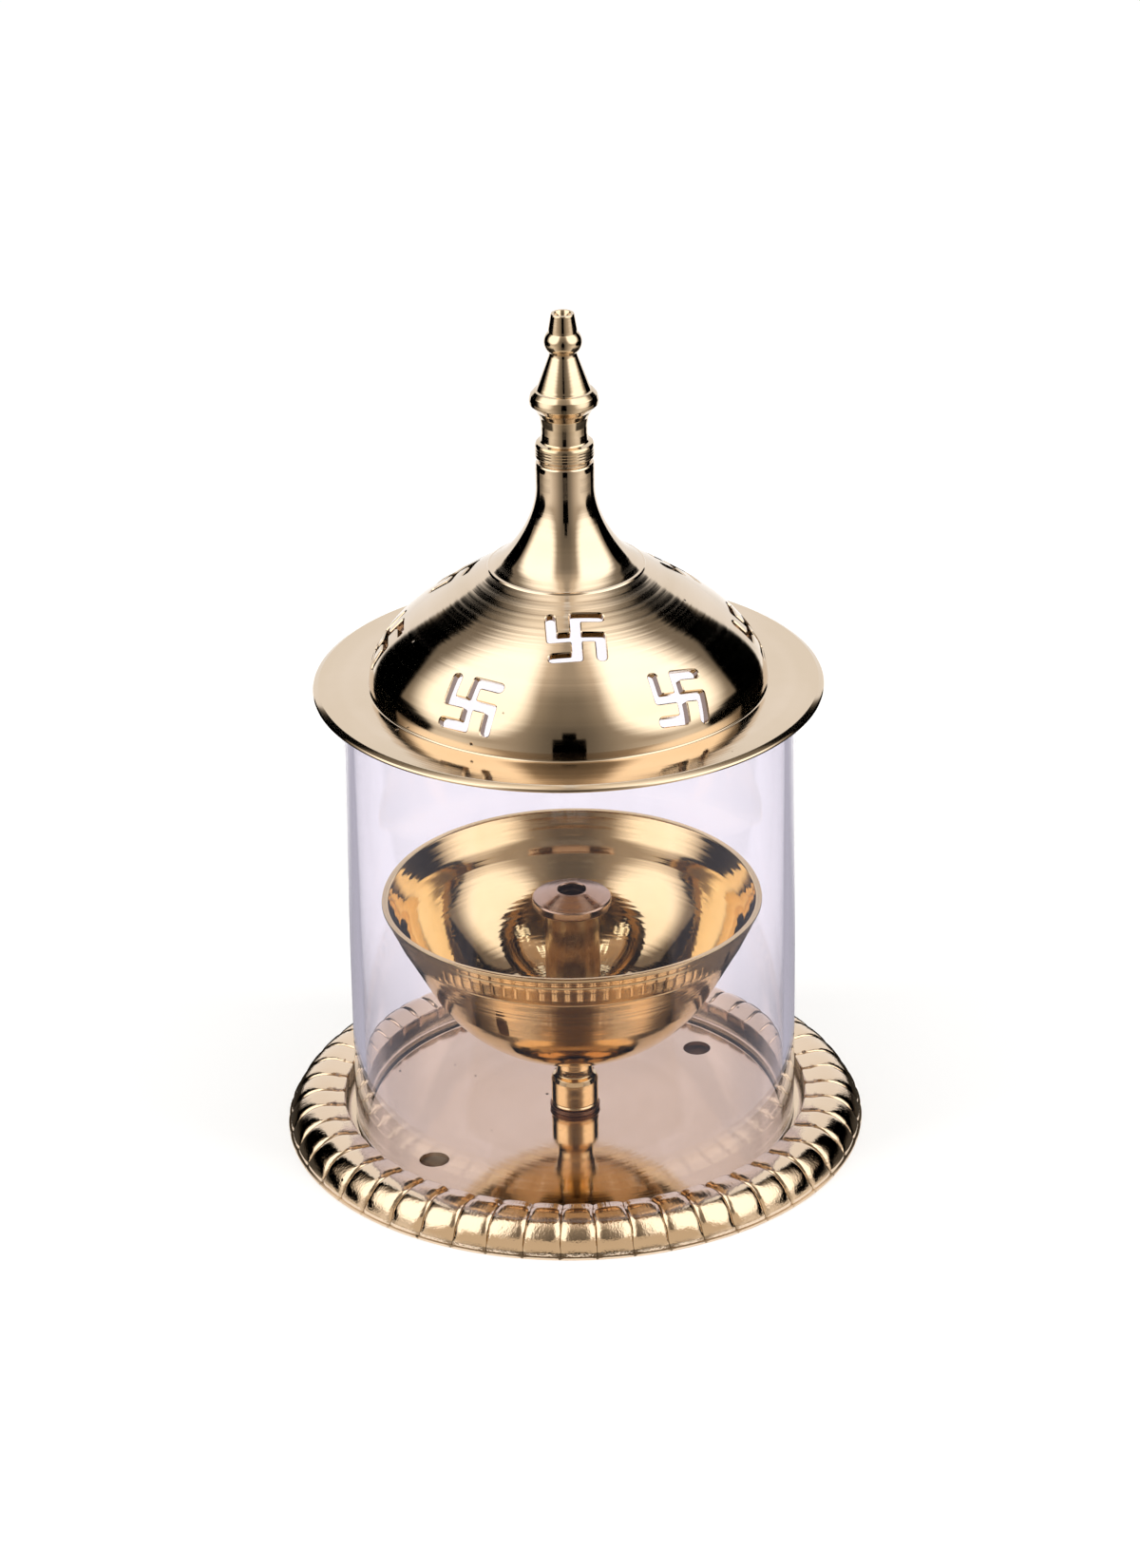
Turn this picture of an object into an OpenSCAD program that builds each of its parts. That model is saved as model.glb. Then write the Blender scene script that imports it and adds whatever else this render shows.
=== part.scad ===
/* [Base plate] */
// Outer diameter over the thin lip
base_d = 105; // [95:0.5:112]
// Height of the fluted rim at its crest
rim_h = 5.8; // [5.2:0.1:7]
// Height of the floor, top face
floor_top = 1.6; // [1.5:0.05:2]
// Thickness of the floor sheet
sheet = 0.8; // [0.6:0.05:0.8]
// Thickness of the fluted rim
rim_sheet = 1.2; // [1:0.05:1.4]
// Number of flutes around the rim
flute_count = 50; // [36:1:56]
// Depth of the valleys between the flutes
flute_depth = 0.45; // [0.3:0.05:0.6]
// Diameter of the two air holes
vent_d = 5.2; // [4:0.1:6]
// Distance of the air holes from the centre
vent_r = 31.4; // [24:0.2:32]

/* [Bowl] */
// Diameter over the bowl rim
bowl_d = 68.3; // [64:0.2:70]
// Height of the bowl rim above the floor
bowl_rim_h = 44; // [43:0.1:46]
// Belly radius of the bowl
belly_r = 27.7; // [27:0.1:28]
// Wall of the bowl
bowl_wall = 2; // [1.6:0.1:2.2]
// Diameter of the collar under the bowl
collar_d = 8.6; // [8.2:0.1:9]
// Diameter of the neck between collar and bowl
neck_d = 6.4; // [6:0.1:7.2]
// Height of the ring washer under the collar
washer_h = 0.9; // [0.6:0.1:1.2]
// Diameter of the ring washer
washer_d = 9.1; // [8.6:0.1:9.6]

/* [Wick holder] */
// Diameter of the wick post
post_d = 9.9; // [9.4:0.1:11]
// Length of the wick post above its seat
post_h = 25.9; // [22:0.1:28]
// Bore of the wick post
post_bore_d = 7; // [6.8:0.1:7.4]
// Diameter of the wick cap
cap_d = 14.3; // [13:0.1:16]
// Height of the straight edge of the wick cap
cap_edge = 1.7; // [1.2:0.1:2.4]
// Rise of the conical top of the wick cap
cap_rise = 1.5; // [1:0.1:2.5]
// Bore for the wick
wick_d = 5; // [4:0.1:5.2]

/* [Glass] */
// Outer diameter of the chimney
chimney_d = 80.2; // [78:0.1:89]
// Wall of the chimney
glass_wall = 2; // [1.6:0.1:2.2]
// Height of the chimney
chimney_h = 84.7; // [75:0.1:95]

/* [Lid] */
// Outer diameter of the brim
brim_d = 89.8; // [88:0.2:96]
// Radius of the dome where it meets the brim
dome_r = 35; // [34:0.1:35]
// Wall of the dome
dome_wall = 1.6; // [1.3:0.1:1.8]
// Depth of the locating skirt inside the chimney
skirt_h = 3; // [2:0.1:4]
// Overall size of each pierced svastika
cut_size = 9.6; // [8:0.1:9.8]
// Width of its arms
cut_arm = 1.7; // [1.2:0.1:1.8]

/* [Finial] */
// Height of the finial above the lid's neck
finial_h = 26.7; // [24:0.1:30]
// Diameter of the neck below the finial
lid_neck_d = 10.3; // [10:0.1:11]
// Largest diameter of the finial
bulb_d = 12; // [11:0.1:13]
// Diameter of the bead at the tip
bead_d = 6.6; // [6:0.1:7.6]

/* [Fits] */
// Play between a pin and its hole, on the radius
pin_gap = 0.3; // [0.25:0.05:0.4]
// Play between the glass and the inner wall of the rim, on the radius
glass_play = 1.8; // [1:0.1:2.5]
// Play between the lid skirt and the glass, on the radius
skirt_gap = 0.5; // [0.4:0.05:0.8]
// Nominal diameter of the screw and the finial stud
screw_d = 3.9; // [3.4:0.1:4]

/* [Hidden] */
$fn = 96;
base_r = base_d / 2;
lip_t = 0.7;
lip_w = 1.5;
lip_reveal = 0.4;
// the fluted rim fills the ring between the glass and the plate's edge
wall_r = chimney_d / 2 + glass_play;
rim_r = wall_r + 0.34 * (base_r - wall_r);
rim_run = base_r - lip_reveal - rim_r;
rim_rise = rim_h - lip_t;
// its section is an arc, with an upright flank below it where the ring is narrow
rim_arc = (rim_run * rim_run + rim_rise * rim_rise) / (2 * rim_rise);
rim_tube = rim_run < rim_rise ? rim_run : rim_arc;
rim_z = rim_h - rim_tube;
valley_from = rim_z > 0 ? 4 : asin((lip_t * 0.57 - rim_z) / rim_tube);
valley_to = acos((wall_r - rim_r) / rim_tube) + 4;
floor_under = floor_top - sheet;
flute_phase = 0.2;
flute_pitch = 2 * PI * rim_r / flute_count;
valley_half = flute_pitch * 0.38;
vent_turns = [42, 217];
hole_r = screw_d / 2 + pin_gap;

// stack on the plate
collar_z = floor_top + washer_h;
collar_top = collar_z + 6.3;
bowl_rim_z = floor_top + bowl_rim_h;
belly_z = bowl_rim_z - 3.4;
belly_c = 1.6;
bowl_r = bowl_d / 2;
bowl_lip = 0.8;
bowl_foot = belly_z - belly_r;
seat_z = belly_z - belly_r + bowl_wall + 0.5;
tap_top = collar_top + 1;
post_top = seat_z + post_h;
socket_d = 2.2;
spigot_r = 2.5;

// lid, measured from the underside of its brim
lid_z = floor_top + chimney_h;
brim_r = brim_d / 2;
skirt_ro = chimney_d / 2 - glass_wall - skirt_gap;
skirt_w = 1.5;
brim_edge = 0.45;
brim_top = 1.05;
brim_bevel = 0.9;
lid_neck_r = lid_neck_d / 2;
neck_foot = 37.25;
neck_top = 42;
turn_r = 11.74;
turn_z = 24.15;
turn_dir = [sin(45.3), -cos(45.3)];
upper_at = [20.7, 17.7];
upper_lean = 56;
// turn round the axis and tilt of each hand-cut piercing
upper_cuts = [[-86, 0], [30, 0], [156, 0]];
lower_at = [31.8, 8.5];
lower_lean = 38;
lower_cuts = [[-121.8, 0], [-53.3, -10], [5, 0], [65, 0], [121, 0], [178, 0]];
cut_deep = 4.4 * dome_wall;
stud_h = 9;
neck_pull = 5.22;
turn_pull_up = 3.84;
turn_pull_down = 7.06;
foot_pull = 10.15;
dome_foot = 1.1;
bead_round = 0.36 * bead_d;

function bezier(p, t) =
    pow(1 - t, 3) * p[0] + 3 * pow(1 - t, 2) * t * p[1]
    + 3 * (1 - t) * t * t * p[2] + pow(t, 3) * p[3];
function heading(p, t) =
    pow(1 - t, 2) * (p[1] - p[0]) + 2 * (1 - t) * t * (p[2] - p[1])
    + t * t * (p[3] - p[2]);
// a point of the finial, in percent of its bulb's radius and of its height
function turned(r, z) = [bulb_d * r / 200, finial_h * z / 100];
function inward(v) = [v[1], -v[0]] / norm(v);
function arc(c, r, a0, a1, n) =
    [for (i = [0:n]) c + r * [cos(a0 + (a1 - a0) * i / n), sin(a0 + (a1 - a0) * i / n)]];

turn_at = [turn_r, turn_z];
throat = [
    [lid_neck_r, neck_foot],
    [lid_neck_r, neck_foot - neck_pull],
    turn_at - turn_pull_up * turn_dir,
    turn_at
];
dome = [
    turn_at,
    turn_at + turn_pull_down * turn_dir,
    [dome_r, dome_foot + foot_pull],
    [dome_r, dome_foot]
];
throat_steps = [0, 0.22, 0.45, 0.72];
dome_steps = [0, 0.14, 0.34, 0.52, 0.68, 0.84, 1];

// full section of the arch at a given radius, down past the table where it has flanks
module rim_arch(r) {
    translate([rim_r, rim_z]) circle(r = r);
    if (rim_z > 0)
        translate([rim_r - r, -1]) square([2 * r, rim_z + 1]);
}

// section through the rim: hollow arc with a straight inner wall
module rim_section() {
    difference() {
        intersection() {
            rim_arch(rim_tube);
            translate([wall_r, 0]) square([base_r, rim_h + 1]);
        }
        intersection() {
            rim_arch(rim_tube - rim_sheet);
            translate([wall_r + sheet, -1]) square([base_r, rim_h + 2]);
        }
        translate([0, -1]) square([rim_r, 1 + floor_under]);
    }
}

// one valley between two flutes, swept over the rim arc from the lip to the inner wall
module flute_valley() {
    translate([rim_r, 0, rim_z])
    rotate([90, 0, 0])
    rotate([0, 0, valley_from])
    rotate_extrude(angle = valley_to - valley_from)
        polygon([
            [rim_tube - flute_depth, 0],
            [rim_tube, valley_half],
            [rim_tube + 1, valley_half],
            [rim_tube + 1, -valley_half],
            [rim_tube, -valley_half]
        ]);
}

module base_plate() {
    color("#c8a866")
    difference() {
        union() {
            difference() {
                rotate_extrude() rim_section();
                for (i = [0:flute_count - 1])
                    rotate([0, 0, flute_phase + 360 * i / flute_count]) flute_valley();
            }
            rotate_extrude()
                translate([base_r - lip_w, 0]) square([lip_w, lip_t]);
            translate([0, 0, floor_under]) cylinder(r = wall_r + sheet / 2, h = sheet);
        }
        translate([0, 0, floor_under - 1]) cylinder(r = hole_r, h = sheet + 2);
        for (turn = vent_turns)
            rotate([0, 0, turn]) translate([vent_r, 0, floor_under - 1])
                cylinder(d = vent_d, h = sheet + 2);
    }
}

// low-headed screw from below, up into the collar
module base_screw() {
    head_t = floor_under - 0.12;
    color("#b09468")
    translate([0, 0, floor_under]) {
        translate([0, 0, -head_t]) cylinder(r = hole_r + 1.9, h = head_t);
        cylinder(d = screw_d, h = tap_top - floor_under - 0.6);
    }
}

module stem_washer() {
    round_r = washer_h / 2;
    color("#8a5a3c")
    translate([0, 0, floor_top])
    difference() {
        union() {
            cylinder(r = washer_d / 2 - round_r, h = washer_h);
            rotate_extrude()
                translate([washer_d / 2 - round_r, round_r]) circle(r = round_r);
        }
        translate([0, 0, -1]) cylinder(r = hole_r, h = washer_h + 2);
    }
}

// bowl section: belly arc, straight flank to the rim
module bowl_outer() {
    reach = norm([bowl_r - belly_c, bowl_rim_z - belly_z]);
    lean = atan2(bowl_rim_z - belly_z, bowl_r - belly_c) - acos(belly_r / reach);
    touch = [belly_c + belly_r * cos(lean), belly_z + belly_r * sin(lean)];
    intersection() {
        union() {
            translate([belly_c, belly_z]) circle(r = belly_r);
            translate([0, bowl_foot]) square([belly_c, belly_r]);
        }
        square([bowl_r, touch[1]]);
    }
    polygon([[0, touch[1]], touch, [bowl_r, bowl_rim_z], [0, bowl_rim_z]]);
}

module bowl_inner() {
    inner_r = belly_r - bowl_wall;
    mouth = bowl_r - bowl_lip;
    reach = norm([mouth - belly_c, bowl_rim_z - belly_z]);
    lean = atan2(bowl_rim_z - belly_z, mouth - belly_c) - acos(inner_r / reach);
    touch = [belly_c + inner_r * cos(lean), belly_z + inner_r * sin(lean)];
    intersection() {
        union() {
            translate([belly_c, belly_z]) circle(r = inner_r);
            translate([0, belly_z - inner_r]) square([belly_c, inner_r]);
        }
        translate([0, seat_z]) square([bowl_r, touch[1] - seat_z]);
    }
    polygon([[0, touch[1]], touch, [mouth, bowl_rim_z], [mouth, bowl_rim_z + 1],
        [0, bowl_rim_z + 1]]);
}

module oil_bowl() {
    color("#cfac62")
    difference() {
        union() {
            rotate_extrude() difference() {
                bowl_outer();
                bowl_inner();
            }
            translate([0, 0, collar_top]) cylinder(d = neck_d, h = bowl_foot + 1 - collar_top);
            translate([0, 0, bowl_foot - 1.9]) cylinder(d = neck_d + 0.8, h = 0.6);
            translate([0, 0, collar_z]) cylinder(d = collar_d, h = collar_top - collar_z - 0.4);
            translate([0, 0, collar_top - 0.4])
                cylinder(d1 = collar_d, d2 = collar_d - 0.8, h = 0.4, $fn = 96);
        }
        translate([0, 0, collar_z - 1]) cylinder(r = hole_r, h = tap_top - collar_z + 1);
        translate([0, 0, seat_z - socket_d]) cylinder(r = spigot_r + pin_gap, h = socket_d + 1);
    }
}

module wick_post() {
    color("#6b4a2c")
    difference() {
        union() {
            translate([0, 0, seat_z]) cylinder(d = post_d, h = post_h);
            translate([0, 0, seat_z - socket_d + 0.3]) cylinder(r = spigot_r, h = socket_d);
        }
        translate([0, 0, seat_z + 2]) cylinder(d = post_bore_d, h = post_h);
        translate([-post_d, 0, seat_z + 3.4]) rotate([0, 90, 0])
            cylinder(d = 2.4, h = 2 * post_d);
    }
}

module wick_cap() {
    spigot_h = 5;
    color("#b08a78")
    translate([0, 0, post_top])
    difference() {
        union() {
            cylinder(d = cap_d, h = cap_edge);
            translate([0, 0, cap_edge])
                cylinder(d1 = cap_d, d2 = wick_d + 0.4, h = cap_rise, $fn = 96);
            translate([0, 0, -spigot_h])
                cylinder(r = post_bore_d / 2 - pin_gap, h = spigot_h + 0.5);
        }
        translate([0, 0, -spigot_h - 1])
            cylinder(d = wick_d, h = spigot_h + cap_edge + cap_rise + 2);
    }
}

module glass_chimney() {
    edge_r = 0.4;
    inner_r = chimney_d / 2 - glass_wall;
    color("#d9d3e8", 0.35)
    translate([0, 0, floor_top])
    rotate_extrude() {
        translate([inner_r, edge_r]) square([glass_wall, chimney_h - 2 * edge_r]);
        translate([inner_r + edge_r, 0]) square([glass_wall - 2 * edge_r, chimney_h]);
        for (r = [inner_r + edge_r, inner_r + glass_wall - edge_r])
            for (z = [edge_r, chimney_h - edge_r])
                translate([r, z]) circle(r = edge_r);
    }
}

// right-facing svastika with upright arms
module svastika() {
    square([cut_arm, cut_size], center = true);
    square([cut_size, cut_arm], center = true);
    for (turn = [0:90:270])
        rotate([0, 0, -turn])
            translate([-cut_arm / 2, cut_size / 2 - cut_arm])
                square([(cut_size + cut_arm) / 2, cut_arm]);
}

module piercing(at, lean, cut) {
    rotate([0, 0, cut[0]])
    translate([at[0], 0, at[1]])
    rotate([0, 90 - lean, 0])
    rotate([0, 0, 90 + cut[1]])
        linear_extrude(height = cut_deep, center = true) svastika();
}

module lid() {
    inner_throat = [for (t = throat_steps) bezier(throat, t) + dome_wall * inward(heading(throat, t))];
    inner_dome = [for (t = dome_steps) bezier(dome, t) + dome_wall * inward(heading(dome, t))];
    skirt_ri = skirt_ro - skirt_w;
    outer = concat(
        [[hole_r, neck_top], [lid_neck_r, neck_top]],
        [for (t = throat_steps) bezier(throat, t)],
        [for (t = dome_steps) bezier(dome, t)],
        [[brim_r - brim_bevel, brim_top], [brim_r, brim_edge], [brim_r, 0]]);
    under = [[skirt_ro, 0], [skirt_ro, -skirt_h], [skirt_ri, -skirt_h], [skirt_ri, 0],
        [dome_r - dome_wall, 0]];
    inner = concat(
        [for (i = [len(inner_dome) - 1:-1:0]) inner_dome[i]],
        [for (i = [len(inner_throat) - 1:-1:1]) inner_throat[i]],
        [[hole_r, inner_throat[1][1] + 1]]);
    color("#c9a962")
    translate([0, 0, lid_z])
    difference() {
        rotate_extrude() polygon(concat(outer, under, inner));
        for (cut = upper_cuts)
            piercing(upper_at, upper_lean, cut);
        for (cut = lower_cuts)
            piercing(lower_at, lower_lean, cut);
    }
}

// turned knob: collar, waist, bulb, cone, bead and drilled tip
module finial() {
    profile = concat(
        [[0, -stud_h], [screw_d / 2, -stud_h], [screw_d / 2, 0]],
        [turned(75, 0), turned(75, 2), turned(84, 3), turned(85, 12), turned(82, 13.2)],
        [turned(69, 14.2), turned(66, 20), turned(67, 25), turned(71, 31), turned(84, 35.6)],
        [turned(97, 39), turned(100, 41), turned(100, 43), turned(94, 46.4), turned(81, 48.7)],
        [turned(75.5, 51), turned(39, 73)],
        arc([bead_d / 2 - bead_round, finial_h * 0.813], bead_round, -55, 50, 8),
        [turned(42, 89.5), turned(34, 100), turned(13, 100), turned(0, 97.4)]);
    color("#cbb072")
    translate([0, 0, lid_z + neck_top])
        rotate_extrude() polygon(profile);
}

base_plate();
base_screw();
stem_washer();
oil_bowl();
wick_post();
wick_cap();
glass_chimney();
lid();
finial();
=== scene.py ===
import math

import bmesh
import bpy
import numpy as np
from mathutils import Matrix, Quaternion, Vector
from mathutils.kdtree import KDTree


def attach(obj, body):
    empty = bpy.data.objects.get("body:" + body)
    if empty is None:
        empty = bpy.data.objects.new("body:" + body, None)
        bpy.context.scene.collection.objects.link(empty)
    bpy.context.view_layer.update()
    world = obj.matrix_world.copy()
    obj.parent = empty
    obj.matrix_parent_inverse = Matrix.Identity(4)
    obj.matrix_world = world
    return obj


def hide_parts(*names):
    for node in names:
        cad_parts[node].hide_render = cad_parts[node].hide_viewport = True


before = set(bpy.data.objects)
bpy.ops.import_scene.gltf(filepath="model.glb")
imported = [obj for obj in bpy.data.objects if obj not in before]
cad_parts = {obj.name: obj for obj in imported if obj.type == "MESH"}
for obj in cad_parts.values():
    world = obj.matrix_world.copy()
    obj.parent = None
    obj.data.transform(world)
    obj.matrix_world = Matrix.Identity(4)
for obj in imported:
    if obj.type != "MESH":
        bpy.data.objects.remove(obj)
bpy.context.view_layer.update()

# Outlines are in millimetres, as (radius, height) pairs about the lamp's upright axis. Where a third
# number is given, it is the rounding of that corner.
MM = 0.001
SEGMENTS = 192
UPRIGHT = (0.0, 0.0, 1.0)

FLOOR_TOP = 1.6
FLOOR_UNDER = 0.8
SCREW_HOLE_R = 2.25
RING_TOP = 2.5
POST_FOOT = 17.0
POST_TOP = 42.9

RIM_R = 45.5
RIM_Z = -1.02
RIM_TUBE = 6.82
RIM_SHEET = 1.2
WALL_R = 41.9
LIP_R = 52.5
FLUTE_COUNT = 50
FLUTE_DEPTH = 0.55
FLUTE_CROWN = 4.0
FLUTE_FLAT_CROWN = 14.0
FLUTE_WANDER = 0.12
FLUTE_SWAY = 1.3
FLUTE_PHASE = math.radians(0.2)
FLUTE_STEPS = 16
# Painted shade laid along the flutes' valleys.
VALLEY_PAINTED_SHADE = (0.14, 0.085, 0.04)
# Painted shade laid in the corner where the plate's floor meets its rim wall.
WALL_CORNER_PAINTED_SHADE = (0.36, 0.27, 0.13)
VENT_R = 31.4
VENT_RADIUS = 2.6
VENT_TURNS = (42.0, 217.0)

LID_Z = 86.3
NECK_R = 5.15
NECK_TOP = 128.3
DOME_R = 35.0
DOME_FOOT = 87.8
DOME_WALL = 1.6
SIGN_WIDTH = 10.0
SIGN_HEIGHT = 9.5
SIGN_ARM = 1.7
# Each row of signs: its middle on the dome, how far it looks up, and the turn and tilt of every sign.
UPPER_ROW = (20.7, 104.0)
UPPER_LEAN = 56.0
UPPER_CUTS = ((-86.0, 0.0), (30.0, 0.0), (156.0, 0.0))
LOWER_ROW = (31.8, 94.8)
LOWER_LEAN = 38.0
LOWER_CUTS = ((-121.8, 0.0), (-53.3, -10.0), (5.0, 0.0), (65.0, 0.0), (121.0, 0.0), (178.0, 0.0))

# How often a finish's marks come along a metre, and how deep they are in metres.
CLOUDS_PER_M = 60.0
WAVES_PER_M = 180.0
PITS_PER_M = 140.0
PIT_DEPTH = 6e-5
PIT_BROWN = (0.06, 0.04, 0.025)

# What the chimney's own reflections see of the studio's sides and front.
SIDE_IN_GLASS = (0.5, 0.48, 0.54)
FRONT_IN_GLASS = (0.22, 0.21, 0.24)


def bezier(p0, p1, p2, p3, count):
    """Points along a cubic curve."""
    t = np.linspace(0.0, 1.0, count)[:, None]
    p0, p1, p2, p3 = (np.array(p, float) for p in (p0, p1, p2, p3))
    return (1 - t) ** 3 * p0 + 3 * (1 - t) ** 2 * t * p1 + 3 * (1 - t) * t * t * p2 + t ** 3 * p3


def arc(centre, radius, start, end, count):
    """Points along a circular arc, angles in degrees."""
    turn = np.radians(np.linspace(start, end, count))
    return np.array(centre) + radius * np.stack([np.cos(turn), np.sin(turn)], 1)


def corner_arc(before, here, after, size, steps):
    """Points of the arc that rounds a corner, which takes up less than half of either side."""
    most = 0.48
    back = before - here
    ahead = after - here
    back_len = np.linalg.norm(back)
    ahead_len = np.linalg.norm(ahead)
    back /= back_len
    ahead /= ahead_len
    half = 0.5 * math.acos(max(-1.0, min(1.0, float(back @ ahead))))
    reach = min(size / math.tan(half), most * back_len, most * ahead_len)
    size = reach * math.tan(half)
    middle = back + ahead
    centre = here + middle / np.linalg.norm(middle) * size / math.sin(half)
    first = here + back * reach - centre
    final = here + ahead * reach - centre
    sweep = math.atan2(first[0] * final[1] - first[1] * final[0], float(first @ final))
    points = []
    for k in range(steps + 1):
        c = math.cos(sweep * k / steps)
        s = math.sin(sweep * k / steps)
        points.append(centre + (first[0] * c - first[1] * s, first[0] * s + first[1] * c))
    return points


def rounded(corners, steps=5):
    """A polyline of (radius, height, rounding) corners with an arc at each rounded corner."""
    places = [np.array(corner[:2], float) for corner in corners]
    points = [places[0]]
    for i in range(1, len(corners) - 1):
        size = corners[i][2]
        if size == 0:
            points.append(places[i])
        else:
            points.extend(corner_arc(places[i - 1], places[i], places[i + 1], size, steps))
    points.append(places[-1])
    return np.array(points)


def path_length(points):
    """Distance along a polyline at each of its points."""
    return np.concatenate([[0.0], np.cumsum(np.linalg.norm(np.diff(points, axis=0), axis=1))])


def unit_rows(rows):
    """Rows of vectors brought to a length of one."""
    return rows / np.linalg.norm(rows, axis=1)[:, None]


def left_of(rows):
    """Directions in the plane turned a quarter to the left."""
    return np.stack([-rows[:, 1], rows[:, 0]], 1)


def at_lengths(lengths, known, pairs):
    """Pairs read off at lengths along a path, from those at its known lengths."""
    return np.stack([np.interp(lengths, known, pairs[:, 0]), np.interp(lengths, known, pairs[:, 1])], 1)


def path_normals(points):
    """Unit normals of a polyline, to the left of its direction."""
    return left_of(unit_rows(np.gradient(points, axis=0)))


def scribe(points, at, depth, width):
    """A lathe tool's fine line in an outline, at a distance along it.

    It leaves the outline to the right by depth, or to the left where depth is below 0.
    """
    s = path_length(points)
    extra = at + width * np.linspace(-1.5, 1.5, 13)
    s_new = np.unique(np.round(np.concatenate([s, extra]), 3))
    dense = at_lengths(s_new, s, points)
    dense[0] = points[0]
    dense[-1] = points[-1]
    sink = depth * np.exp(-(((s_new - at) / (0.5 * width)) ** 2))
    return dense - path_normals(dense) * sink[:, None]


def add_piece(name, mesh, material):
    """Puts a finished mesh in the scene with one finish."""
    mesh.name = name
    mesh.materials.clear()
    mesh.materials.append(material)
    piece = bpy.data.objects.new(name, mesh)
    bpy.context.scene.collection.objects.link(piece)
    return piece


def smooth(mesh, sharp_angle):
    """Smooth shading with hard edges past an angle in degrees."""
    mesh.shade_smooth()
    mesh.set_sharp_from_angle(angle=math.radians(sharp_angle))


def braced(outline, run=1.2, reach=0.08):
    """Adds a point near both ends of each long straight run, so that its shading stays straight."""
    points = [outline[0]]
    for a, b in zip(outline, outline[1:]):
        length = np.linalg.norm(np.subtract(b, a))
        if length > run:
            step = np.subtract(b, a) * (reach / length)
            points.extend((a + step, b - step))
        points.append(b)
    return np.array(points)


def lathe_faces(rings, segments):
    """Faces between neighbouring rings of points, where a ring of one point is a pole."""
    pairs = list(zip(rings, rings[1:]))
    if len(rings[0]) > 1:
        pairs.append((rings[-1], rings[0]))
    faces = []
    for low, high in pairs:
        for i in range(segments):
            j = (i + 1) % segments
            if len(low) == 1:
                faces.append((low[0], high[j], high[i]))
            elif len(high) == 1:
                faces.append((low[i], low[j], high[0]))
            else:
                faces.append((low[i], low[j], high[j], high[i]))
    return faces


def lathe_mesh(name, outline, segments=SEGMENTS, swell=None):
    """Turns an outline about the axis.

    Points on the axis become poles, and an outline that keeps off the axis closes on itself.
    """
    on_axis = 1e-6
    verts = []
    rings = []
    turns = 2.0 * math.pi * np.arange(segments) / segments
    for r, z in braced(outline):
        if r < on_axis:
            rings.append([len(verts)])
            verts.append((0.0, 0.0, z * MM))
            continue
        radii = np.full(segments, r) if swell is None else r + swell(turns, r, z)
        heights = np.full(segments, z * MM)
        rings.append(list(range(len(verts), len(verts) + segments)))
        verts.extend(zip(radii * np.cos(turns) * MM, radii * np.sin(turns) * MM, heights))
    return closed_mesh(name, verts, lathe_faces(rings, segments))


def closed_mesh(name, verts, faces):
    """A mesh from its points and faces, with every face turned to point out."""
    mesh = bpy.data.meshes.new(name)
    mesh.from_pydata(verts, [], faces)
    face_outwards(mesh)
    return mesh


def face_outwards(mesh):
    """Turns every face of a closed mesh to point out."""
    work = bmesh.new()
    work.from_mesh(mesh)
    bmesh.ops.recalc_face_normals(work, faces=work.faces[:])
    work.to_mesh(mesh)
    work.free()


def lathe(name, outline, material, sharp_angle=35.0, segments=SEGMENTS, swell=None):
    """A turned piece."""
    mesh = lathe_mesh(name, outline, segments, swell)
    smooth(mesh, sharp_angle)
    return add_piece(name, mesh, material)


def cut_away(piece, cutter_mesh):
    """Takes a cutter's volume out of a piece."""
    cutter = bpy.data.objects.new("cutter", cutter_mesh)
    bpy.context.scene.collection.objects.link(cutter)
    cut = piece.modifiers.new("cut", "BOOLEAN")
    cut.operation = "DIFFERENCE"
    cut.solver = "EXACT"
    cut.object = cutter
    keep_evaluated(piece)
    drop_slivers(piece.data)
    bpy.data.objects.remove(cutter)
    bpy.data.meshes.remove(cutter_mesh)


def drop_slivers(mesh):
    """Closes up edges and faces of no size that a cut leaves."""
    no_size = 1e-6
    work = bmesh.new()
    work.from_mesh(mesh)
    bmesh.ops.dissolve_degenerate(work, dist=no_size, edges=work.edges[:])
    work.to_mesh(mesh)
    work.free()


def keep_evaluated(piece):
    """Replaces a piece's mesh by what its modifiers make, and removes them."""
    graph = bpy.context.evaluated_depsgraph_get()
    made = bpy.data.meshes.new_from_object(piece.evaluated_get(graph))
    piece.modifiers.clear()
    old = piece.data
    piece.data = made
    made.name = piece.name
    bpy.data.meshes.remove(old)


def drill_mesh(name, start, end, radius, segments=64):
    """A round bar between two points, for drilling a hole."""
    start = Vector(start)
    end = Vector(end)
    turn = (end - start).to_track_quat("Z", "Y")
    verts = []
    for at in (start, end):
        for i in range(segments):
            a = 2.0 * math.pi * i / segments
            spoke = Vector((radius * math.cos(a), radius * math.sin(a), 0.0))
            verts.append((at + turn @ spoke) * MM)
    faces = [tuple(range(segments)), tuple(range(segments, 2 * segments))]
    for i in range(segments):
        j = (i + 1) % segments
        faces.append((i, j, segments + j, segments + i))
    return closed_mesh(name, verts, faces)


def joined(meshes):
    """Several closed meshes as one."""
    work = bmesh.new()
    for mesh in meshes:
        work.from_mesh(mesh)
        bpy.data.meshes.remove(mesh)
    mesh = bpy.data.meshes.new("cutters")
    work.to_mesh(mesh)
    work.free()
    return mesh


def feed(tree, socket, value):
    """Links an input to another node's output, or sets it to a plain value."""
    if isinstance(value, bpy.types.NodeSocket):
        tree.links.new(value, socket)
    else:
        socket.default_value = value


def add_node(tree, kind, **inputs):
    """A node with its inputs fed by name, an underscore standing for a space."""
    node = tree.nodes.new(kind)
    for name, value in inputs.items():
        feed(tree, node.inputs[name.replace("_", " ")], value)
    return node


def calc(tree, operation, *values):
    """A Math node whose inputs are sockets or numbers."""
    node = tree.nodes.new("ShaderNodeMath")
    node.operation = operation
    for socket, value in zip(node.inputs, values):
        feed(tree, socket, value)
    return node.outputs[0]


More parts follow.
